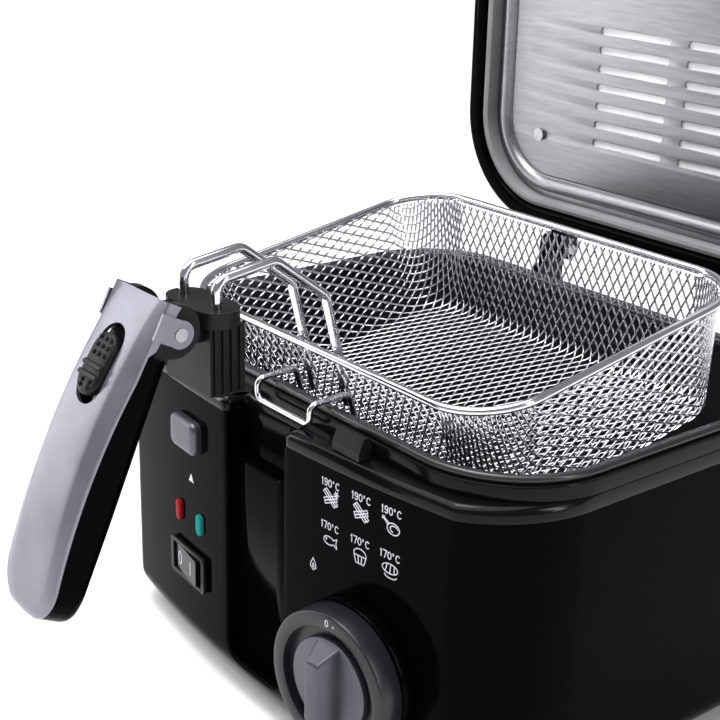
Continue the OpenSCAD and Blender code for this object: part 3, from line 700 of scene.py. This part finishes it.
PITCH, HALF, SUB, SIDES, STRAND_R = 2.35, 4.5, 2, 6, 0.47
strand_v, strand_f = [], []
count = int(2 * (CORE_X + REACH) / PITCH)
ring_angles = [2 * math.pi * k / SIDES for k in range(SIDES)]
total = 0
for j in range(count + 1):
    x0 = (j - count / 2) * PITCH
    over = max(abs(x0) - CORE_X, 0)
    if over >= REACH - 0.6:
        continue
    half_y = CORE_Y + math.sqrt(REACH ** 2 - over ** 2)
    n = int(half_y / (HALF / SUB))
    k = np.arange(-n, n + 1)
    y = k * HALF / SUB
    wave = 1 - 2 * np.abs(((k / SUB + (j % 2)) % 2) - 1)
    x = x0 + wave * PITCH / 2
    keep = np.hypot(np.maximum(np.abs(x) - CORE_X, 0), np.maximum(np.abs(y) - CORE_Y, 0)) <= REACH
    x, y = x[keep], y[keep]
    if len(x) < 3:
        continue
    pos, nor = fold(x, y)
    t = np.gradient(pos, axis=0)
    t /= np.maximum(np.linalg.norm(t, axis=1), TINY)[:, None]
    side_v = np.cross(t, nor)
    side_v /= np.maximum(np.linalg.norm(side_v, axis=1), TINY)[:, None]
    rings = np.stack([pos + nor * math.cos(a) * STRAND_R * 0.8 + side_v * math.sin(a) * STRAND_R * 1.1
                      for a in ring_angles], 1)
    m = len(pos)
    strand_v.append(rings.reshape(-1, 3))
    for i in range(m - 1):
        for q in range(SIDES):
            q2 = (q + 1) % SIDES
            b = total + i * SIDES
            strand_f.append((b + q, b + q2, b + SIDES + q2, b + SIDES + q))
    strand_f.append(tuple(total + q for q in range(SIDES))[::-1])
    strand_f.append(tuple(total + (m - 1) * SIDES + q for q in range(SIDES)))
    total += m * SIDES
piece("basket_weave", np.concatenate(strand_v), strand_f, "basket", "chrome_wire", place=BASKET,
      replaces=("basket_mesh",), sharp=80)

RIM_HW, RIM_HD, RIM_R = 98.3, 72.8, 27.3
rim = round_path([(RIM_HW, -RIM_HD, 0), (RIM_HW, RIM_HD, 0), (-RIM_HW, RIM_HD, 0), (-RIM_HW, -RIM_HD, 0)],
                 RIM_R, 16, True)
piece("rim_wire", *tube(rim, 1.7, 16, closed=True), "basket", "chrome_wire", place=BASKET,
      replaces=("basket_rim",))

hook_yz = ((-79.6, RIM_Z - 22), (-87.1, RIM_Z + 2.6), (-105.9, RIM_Z + 1.7), (-105.9, RIM_Z - 6.4))
hook = [(-17.5, y, z) for y, z in hook_yz] + [(17.5, y, z) for y, z in hook_yz[::-1]]
piece("hook_wire", *tube(round_path(hook, 3.2, 8), 1.25, 14), "basket", "chrome_wire",
      place=move(BASKET_X, 0, 0), replaces=("drain_hook",))
arm_yz = ((-82.4, RIM_Z - 4), (-87.6, RIM_Z + 17.2), (-94.4, RIM_Z + 42), (-118, RIM_Z + 59.7),
          (-143.7, RIM_Z + 56), (-143.4, RIM_Z + 46.05))
arms = [tube(round_path([(s * 11, y, z) for y, z in arm_yz], 6, 8), 2.0, 16) for s in (-1, 1)]
piece("arm_wires", *merge(*arms), "basket", "chrome_wire", place=move(BASKET_X, 0, 0),
      replaces=("handle_wires",))

# ---- handle ----

END, HALF_W, END_R, SPLIT = 114.0, 18.0, 15.0, 6.5
HUB_U, SEAM_DROP, ROUND_U, ROUND_DROP = 9, 1.5, 3.2, 2.6
SLOT_U, SLOT_HALF, SLOT_W = 20, 15.5, 7.5


def half_width(u):
    """Half the handle's width, narrowing round its end."""
    k = max(u - (END - END_R), 0)
    return HALF_W - END_R + math.sqrt(max(END_R ** 2 - k * k, 0.04))


def drop_at(u):
    """How far the chamfer falls along the edge."""
    return float(np.interp(u, [-9, 0, 20, 51, 80, 104, 114], [0.8, 2.2, 4, 3, 2, 1.1, 0.6]))


def end_drop(u):
    """How far the back rolls over at the tip."""
    k = min(max(u - (END - ROUND_U), 0) / ROUND_U, 1)
    return ROUND_DROP * (1 - math.sqrt(1 - k * k))


def skirt(u):
    """Height of the seam. At the hub the silver reaches down the side, further out to the chamfer."""
    return crown(u) - SPLIT if u < HUB_U else crown(u) - end_drop(u) - drop_at(u) - SEAM_DROP


us = list(np.linspace(-HUB_U, END - END_R, 44))
us += [END - END_R * (1 - math.sin(math.radians(a))) for a in range(4, 91, 6)]
us = sorted(set(round(u, 3) for u in us))
tops = []
for u in us:
    w, e, c = half_width(u), drop_at(u), crown(u) - end_drop(u)
    band = min(4.0, w * 0.3)
    half = [(w, skirt(u)), (w, c - e - 0.9), (w - 0.15, c - e - 0.35), (w - 0.5, c - e),
            (w - 0.9, c - e + 0.25), (w - band - 0.3, c - 0.42), (w - band - 0.9, c - 0.25),
            (w - band - 1.8, c - 0.14)]
    half += [((w - band - 1.8) * k, c - 0.14 * k * k) for k in (0.75, 0.5, 0.25)]
    section = half + [(0, c)] + [(-x, z) for x, z in half[::-1]]
    tops.append([(x, -u, z) for x, z in section])
shell = piece("handle_face", *loft(tops, closed=False, caps=(False, True)), "handle", "silver_paint",
              place=HANDLE, replaces=("handle_top_shell",), facing=(0, 0, 1), sharp=50, thick=1.6)
well = loft([rr_ring(SLOT_W, SLOT_HALF, SLOT_W - 0.1, z, 12, -SLOT_U) for z in (4, 30)], True, (True, True))
carve(shell, piece("slot_cutter", *well, "handle", "black_matte", place=HANDLE), 50)


def belly(u):
    """Height of the handle's underside."""
    return float(np.interp(u, [0, 12, 70, 104, 115], [-1.4, -1.6, -5.3, -7, -8.8]))


lows = []
for u in [v for v in us if v > HUB_U]:
    w, t, b = half_width(u) - 0.15, skirt(u), belly(u) + end_drop(u) * 0.8
    r = min(5.0, (t - b) * 0.8, w * 0.8)
    right = [(w, t)] + [(w - r + r * math.cos(math.radians(a)), b + r - r * math.sin(math.radians(a)))
                        for a in range(0, 91, 15)]
    lip = max(w - 2, w * 0.4)
    trough_z = max(crown(u) - SPLIT - 4.2, b + 1.6)
    top = [(-lip, t), (-lip, trough_z), (lip, trough_z), (lip, t)]
    lows.append([(x, -u, z) for x, z in right + [(-x, z) for x, z in right[::-1]] + top])
piece("handle_grip", *loft(lows, True, (True, True)), "handle", "trim_black", place=HANDLE,
      replaces=("handle_lower_shell",), sharp=40, mat=MATS["black_gloss"])
thumb = [(7.0, 12, 7.0, -1.4), (7.0, 12, 7.0, 0.6), (6.8, 11.8, 6.8, 1.3), (6.3, 11.3, 6.3, 1.7),
         (5.4, 10.4, 5.4, 1.9)]
parts = [loft([rr_ring(w, h, r, z, 10) for w, h, r, z in thumb], True, (True, True))]
for y0 in (-5.0, -1.2):
    parts.append(loft([rr_ring(6.3 - k, 1.0 - k, 0.6, z, 4, y0) for k, z in ((0, 1.5), (0, 2.5), (0.3, 3.0))],
                      True, (True, True)))
dots = [(x, y) for x in (-3.4, 0, 3.4) for y in (3.2, 6.2, 9.2)]
dots += [(x, y) for x in (-2.4, 2.4) for y in (-7.2, -9.2)]
DOT_ROWS = ((0.9, 1.8), (0.85, 2.3), (0.6, 2.65), (0.2, 2.75))
for x, y in dots:
    parts.append(loft([[(*p, z) for p in round_ring(x, y, r, 14)] for r, z in DOT_ROWS], True, (True, True)))
piece("thumb_slide", *merge(*parts), "slider", "black_matte", place=SLIDE, replaces=("handle_slider",),
      sharp=40)

# ---- controls on the front ----


def raised(name, w, h, r, rows, body, slot, place, replaces=(), mat=None):
    """A pad with a shaped edge: rows give (how far in, y)."""
    return piece(name, *loft([plate_ring(w - 2 * i, h - 2 * i, max(r - i, 0.3), y) for i, y in rows], True,
                             (True, True)), body, slot, place, replaces, mat=mat)


button_rows = [(0.3, 3), (0.1, -1.6), (0.1, -2.4), (0.5, -3.1), (1.6, -3.75), (2.4, -3.95), (4, -4)]
lens_rows = [(0, 3), (0, -0.5), (0.25, -0.9), (0.8, -1.15), (1.6, -1.2)]
# The button wears the darker copy of the silver paint, painted shade.
raised("button_cap", 22, 15, 4, button_rows, "button", "silver_paint", on_front(-51, 109),
       ("release_button",), mat=SILVER_PAINTED_SHADE)
for name, x in (("red_lens", -60.7), ("green_lens", -42.1)):
    raised(name + "_cap", 5, 10, 2.5, lens_rows, "base", name, on_front(x, 69), (name,))
dial = on_front(64.5, 49.7)
DRUM_TOP, RECESS, GRIP_W = -16, -12.3, 12
piece("dial_base", *turned([(5, -0.05), (30.4, -0.05), (30.4, -4.5), (30.1, -5), (29.5, -5.2), (5, -5.2)]),
      "base", "black_gloss", dial, ("dial_collar",))
drum = [(3, -5.5), (29.3, -5.5), (29.8, -5.7), (30, -6.2), (30, -15.2), (29.75, -15.75), (29.2, DRUM_TOP),
        (24.6, DRUM_TOP), (24.15, -15.85), (24, -15.4), (24, RECESS), (3, RECESS)]
piece("dial_ring", *turned(drum), "knob", "black_gloss", dial, ("dial_drum",), sharp=45, mat=DRUM_BLACK)
disc = turned([(3, RECESS), (19.0, RECESS), (19.4, -12.7), (19.4, -14.6), (19.15, -15.05), (18.7, -15.2),
               (3, -15.2)])
# Rows of the grip: how far in from its full width, y, and half its height.
bar_rows = [(0, -14.9, 18.2), (0, -15.4, 17.8), (1.5, -20, 15.2), (2.4, -23, 13.4), (2.7, -23.8, 12.7),
            (3.2, -24, 12.0)]
bar = loft([plate_ring(GRIP_W - 2 * i, 2 * hz, 1.2, y, 5) for i, y, hz in bar_rows], True, (True, True))
# The dial's silver grip wears the darker copy too, painted shade.
piece("dial_grip", *merge(disc, bar), "knob", "silver_paint", dial, ("temperature_knob",), sharp=38,
      mat=SILVER_PAINTED_SHADE)

# ---- printed marks: plain numbers and generic pictures of food ----

PRINT_LIFT, STROKE, LETTER_GAP = 0.06, 0.42, 0.42

GLYPHS = {
    "0": [[(0.5, 0), (0.12, 0.15), (0, 0.5), (0.12, 0.85), (0.5, 1), (0.88, 0.85), (1, 0.5), (0.88, 0.15),
           (0.5, 0)]],
    "1": [[(0.2, 0.8), (0.55, 1), (0.55, 0)]],
    "7": [[(0, 1), (1, 1), (0.4, 0)]],
    "9": [[(0.95, 0.6), (0.5, 0.42), (0.08, 0.6), (0.1, 0.88), (0.5, 1), (0.9, 0.88), (0.95, 0.6),
           (0.9, 0.25), (0.5, 0), (0.1, 0.12)]],
    "o": [[(0.2, 0.85), (0.35, 1), (0.5, 0.85), (0.35, 0.7), (0.2, 0.85)]],
    "C": [[(1, 0.85), (0.6, 1), (0.15, 0.85), (0, 0.5), (0.15, 0.15), (0.6, 0), (1, 0.15)]],
    "I": [[(0.5, 0), (0.5, 1)]],
}


def circle(cx, cy, rx, ry=None, a0=0, a1=360, n=20):
    """A line round an ellipse from angle a0 to a1."""
    ry = ry or rx
    return [(cx + rx * math.cos(math.radians(a0 + (a1 - a0) * k / n)),
             cy + ry * math.sin(math.radians(a0 + (a1 - a0) * k / n))) for k in range(n + 1)]


def rod(x0, y0, x1, y1, w):
    """The outline of a thin bar."""
    d = math.hypot(x1 - x0, y1 - y0)
    nx, ny = -(y1 - y0) / d * w / 2, (x1 - x0) / d * w / 2
    return [(x0 + nx, y0 + ny), (x1 + nx, y1 + ny), (x1 - nx, y1 - ny), (x0 - nx, y0 - ny),
            (x0 + nx, y0 + ny)]


fries = [rod(-3.6, 2.4, 2.4, -2.8, 1.1), rod(-2.6, 3.2, 3.6, -2.0, 1.1), rod(-3.4, -1.2, 3.2, 1.6, 1.1),
         rod(-3.0, -2.4, 3.4, 0.4, 1.1)]
flake = [[(3.2 + math.cos(a) * 1.3, 2.6 + math.sin(a) * 1.3),
          (3.2 - math.cos(a) * 1.3, 2.6 - math.sin(a) * 1.3)] for a in (0.0, math.pi / 3, 2 * math.pi / 3)]
leg = [circle(1.0, -0.6, 3.0, 2.3),
       [(-1.6, 0.4), (-3.9, 2.5), (-4.4, 2.2), (-4.2, 3.2), (-3.4, 3.1), (-3.3, 2.5), (-1.0, 1.2)],
       circle(1.4, -0.6, 1.9, 1.3, 20, 250, 12)]
fish = [circle(-0.5, 0, 2.9, 1.7, 30, 330), [(2.0, 0.85), (3.9, 2.0), (3.4, 0), (3.9, -2.0), (2.0, -0.85)],
        circle(-2.0, 0.4, 0.28, n=8)]
cake = [circle(0, 0.7, 3.2, 2.3, -15, 195), [(-3.1, 0.1), (-2.1, -3.1), (2.1, -3.1), (3.1, 0.1), (-3.1, 0.1)],
        [(-1.0, 0.1), (-0.7, -3.1)], [(1.0, 0.1), (0.7, -3.1)]]
bread = [circle(0, 0.8, 3.8, 2.0), [(-2.2, -0.3), (-1.4, 2.2)], [(0, -0.9), (0.4, 2.7)],
         [(2.1, -0.4), (2.1, 2.1)], circle(0.4, -1.9, 2.9, 1.1, 180, 360, 12)]
drop = [[(0, 3.2), (-1.5, 0.6), (-1.6, -0.8), (0, -2.0), (1.6, -0.8), (1.5, 0.6), (0, 3.2)],
        [(0, 0.9), (-0.6, -0.3), (0, -1.0), (0.6, -0.3), (0, 0.9)]]


def text(word, height):
    """A word as strokes, centred."""
    out, x = [], 0.0
    for ch in word:
        w = height * (0.32 if ch in "1I" else 0.4 if ch == "o" else 0.56)
        out += [[(x + px * w, py * height) for px, py in line] for line in GLYPHS[ch]]
        x += w + height * LETTER_GAP * 0.5
    return [[(px - x / 2, py - height / 2) for px, py in line] for line in out]


def ribbons(lines, width, lift, at):
    """Thin raised strokes. at(x, z, lift) puts a point of the print on its surface."""
    parts = []
    for line in lines:
        pts = [Vector(p) for p in line]
        for a, b in zip(pts, pts[1:]):
            d = b - a
            if d.length < 1e-4:
                continue
            t = d.normalized() * width / 2
            n = Vector((-t.y, t.x))
            quad = [a - t * 0.8 + n, b + t * 0.8 + n, b + t * 0.8 - n, a - t * 0.8 - n]
            top = [at(q.x, q.y, lift) for q in quad]
            low = [at(q.x, q.y, 0.0) for q in quad]
            parts.append((top + low, [(0, 1, 2, 3), (4, 7, 6, 5), (0, 4, 5, 1), (1, 5, 6, 2), (2, 6, 7, 3),
                                      (3, 7, 4, 0)]))
    return merge(*parts)


def on_panel(x, z, lift):
    return (x, face_y(x, z) - lift - 0.005, z)


def shifted(lines, x, z):
    return [[(px + x, pz + z) for px, pz in line] for line in lines]


marks = []
for x, top_icon, low_icon in ((48.2, fries + flake, fish), (64.6, fries, cake), (79.8, leg, bread)):
    marks += shifted(text("190oC", 2.9), x, 122.6) + shifted(top_icon, x, 116.6)
    marks += shifted(text("170oC", 2.9), x, 104.8) + shifted(low_icon, x, 98.8)
marks += shifted(drop, 38.9, 84.8)
piece("food_marks", *ribbons(marks, STROKE, PRINT_LIFT, on_panel), "base", "ceramic_white",
      mat=PRINT_WHITE, sharp=30)
triangle = [(-50.0 + x, 88 + z) for x, z in ((0, 2.2), (-2.2, -1.6), (2.2, -1.6))]
tri_v = [on_panel(x, z, PRINT_LIFT) for x, z in triangle] + [on_panel(x, z, 0.0) for x, z in triangle]
piece("press_mark", tri_v, [(0, 1, 2), (5, 4, 3), (0, 3, 4, 1), (1, 4, 5, 2), (2, 5, 3, 0)], "base",
      "ceramic_white", mat=PRINT_WHITE)


def on_dial(x, z, lift):
    return (x, DRUM_TOP - lift, z)


zero = shifted(text("0", 2.6), 0, 26.9) + [circle(3.2, 26.6, 0.35, n=10)]
piece("dial_zero", *ribbons(zero, STROKE, PRINT_LIFT, on_dial), "knob", "ceramic_white", dial,
      mat=PRINT_WHITE)
tilt = on_front(-52, 46) @ move(0, 3.5, 0) @ rot(-6, "Z")
rocker_marks = shifted(text("0", 6.0), -6, 0) + shifted(text("I", 6.0), 6, 0)
piece("rocker_marks", *ribbons(rocker_marks, 0.6, PRINT_LIFT, lambda x, z, lift: (x, -5.4 - lift, z)),
      "rocker", "ceramic_white", tilt, mat=PRINT_WHITE)

# ---- CAD nodes that show as they are ----

slot_of = {row["node"]: row["material_slot"] for row in frame["record"]["subparts"]}
for node, ob in frame["nodes"].items():
    ob.data.materials.clear()
    ob.data.materials.append(MATS[slot_of[node]])

# ---- floor, light and camera ----

floor_mat = material("floor_pale", (0.9, 0.9, 0.9), 0.75, spread=0.03, scale=3, tint=0.01, specular=0.1,
                     bump=0.02)
floor_rings = [[(*p, 0) for p in round_ring(0, 0, r, 96)] for r in (0.5, 6, 60)]
fv, ff = loft(floor_rings, True, (True, False))
fm = bpy.data.meshes.new("floor")
fm.from_pydata(fv.tolist(), [], [list(f) for f in ff])
fm.materials.append(floor_mat)
floor = bpy.data.objects.new("floor", fm)
bpy.context.scene.collection.objects.link(floor)

world = bpy.data.worlds.new("studio")
world.use_nodes = True
world.node_tree.nodes["Background"].inputs["Color"].default_value = (1, 1, 1, 1)
world.node_tree.nodes["Background"].inputs["Strength"].default_value = 0.3
bpy.context.scene.world = world


def area(name, at, target, size, power, size_y=None):
    """A soft lamp in metres, aimed at target."""
    la = bpy.data.lights.new(name, "AREA")
    la.energy, la.size = power, size
    if size_y:
        la.shape, la.size_y = "RECTANGLE", size_y
    ob = bpy.data.objects.new(name, la)
    ob.location = at
    ob.rotation_euler = (Vector(target) - Vector(at)).to_track_quat("-Z", "Y").to_euler()
    bpy.context.scene.collection.objects.link(ob)


sun = bpy.data.lights.new("soft_sun", "SUN")
sun.energy, sun.angle = 3.1, math.radians(70)
sun_ob = bpy.data.objects.new("soft_sun", sun)
sun_ob.rotation_euler = (math.radians(14), math.radians(-10), 0)
bpy.context.scene.collection.objects.link(sun_ob)
area("key_top", (-0.2, -0.2, 1.3), (0, 0, 0.15), 0.5, 9)
area("left_strip", (-1.3, -0.9, 0.7), (0, 0, 0.15), 0.16, 9, 1.4)
area("right_strip", (1.5, 0.3, 0.9), (0, 0, 0.15), 0.16, 9, 1.2)

AZ, EL, ROLL = math.radians(51.0), math.radians(20.2), math.radians(1.4)
back_v = Vector((math.sin(AZ) * math.cos(EL), -math.cos(AZ) * math.cos(EL), math.sin(EL)))
right_v = (-back_v).cross(Vector((0, 0, 1))).normalized()
up_v = right_v.cross(-back_v)
rx = right_v * math.cos(ROLL) + up_v * math.sin(ROLL)
ry = -right_v * math.sin(ROLL) + up_v * math.cos(ROLL)
cam_data = bpy.data.cameras.new("camera")
cam_data.lens, cam_data.sensor_width = 73.35, 36.0
cam = bpy.data.objects.new("camera", cam_data)
m = Matrix((rx, ry, back_v)).transposed().to_4x4()
m.translation = Vector((441.8 * MM, -417.9 * MM + SHIFT_Y, 355.7 * MM))
cam.matrix_world = m
bpy.context.scene.collection.objects.link(cam)
bpy.context.scene.camera = cam
bpy.context.scene.view_settings.view_transform = "Standard"
